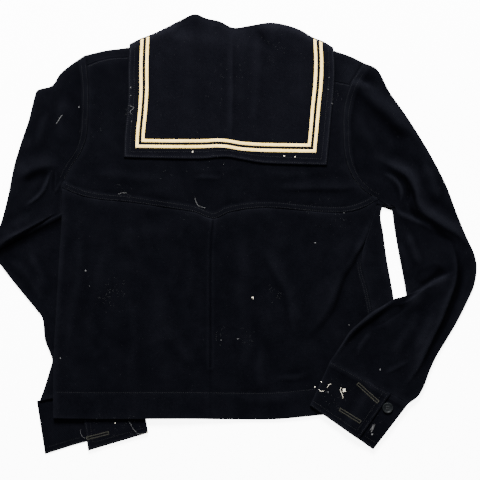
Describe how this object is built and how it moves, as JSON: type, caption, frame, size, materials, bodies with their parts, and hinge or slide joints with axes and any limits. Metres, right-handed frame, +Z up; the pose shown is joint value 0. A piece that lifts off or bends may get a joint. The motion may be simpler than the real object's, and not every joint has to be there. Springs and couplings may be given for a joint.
{
  "type": "sailor jumper",
  "caption": "Dark navy wool sailor jumper laid flat, back up, with a square collar edged by two cream tapes, a pointed yoke seam and buttoned cuffs.",
  "frame": {"origin": "centre of the garment's bounding box in plan, on the flat surface that it lies on", "axes": "+Z up from the surface, +Y towards the collar, +X to the garment's own right side as it lies back up, where the forearm lies over the back"},
  "size_m": [0.679, 0.615, 0.0127],
  "materials": {
    "navy_wool": "matte napped wool",
    "collar_wool": "matte fine wool",
    "cream_tape": "matte woven tape",
    "dark_button": "polished"
  },
  "bodies": {
    "root": {"front": "navy_wool", "back_lower": "navy_wool", "back_yoke": "navy_wool", "collar": "collar_wool", "stripe_outer": "cream_tape", "stripe_inner": "cream_tape", "sleeve_left": "navy_wool", "sleeve_right": "navy_wool", "cuff_left": "navy_wool", "cuff_right": "navy_wool", "button_right": "dark_button"}
  },
  "joints": []
}
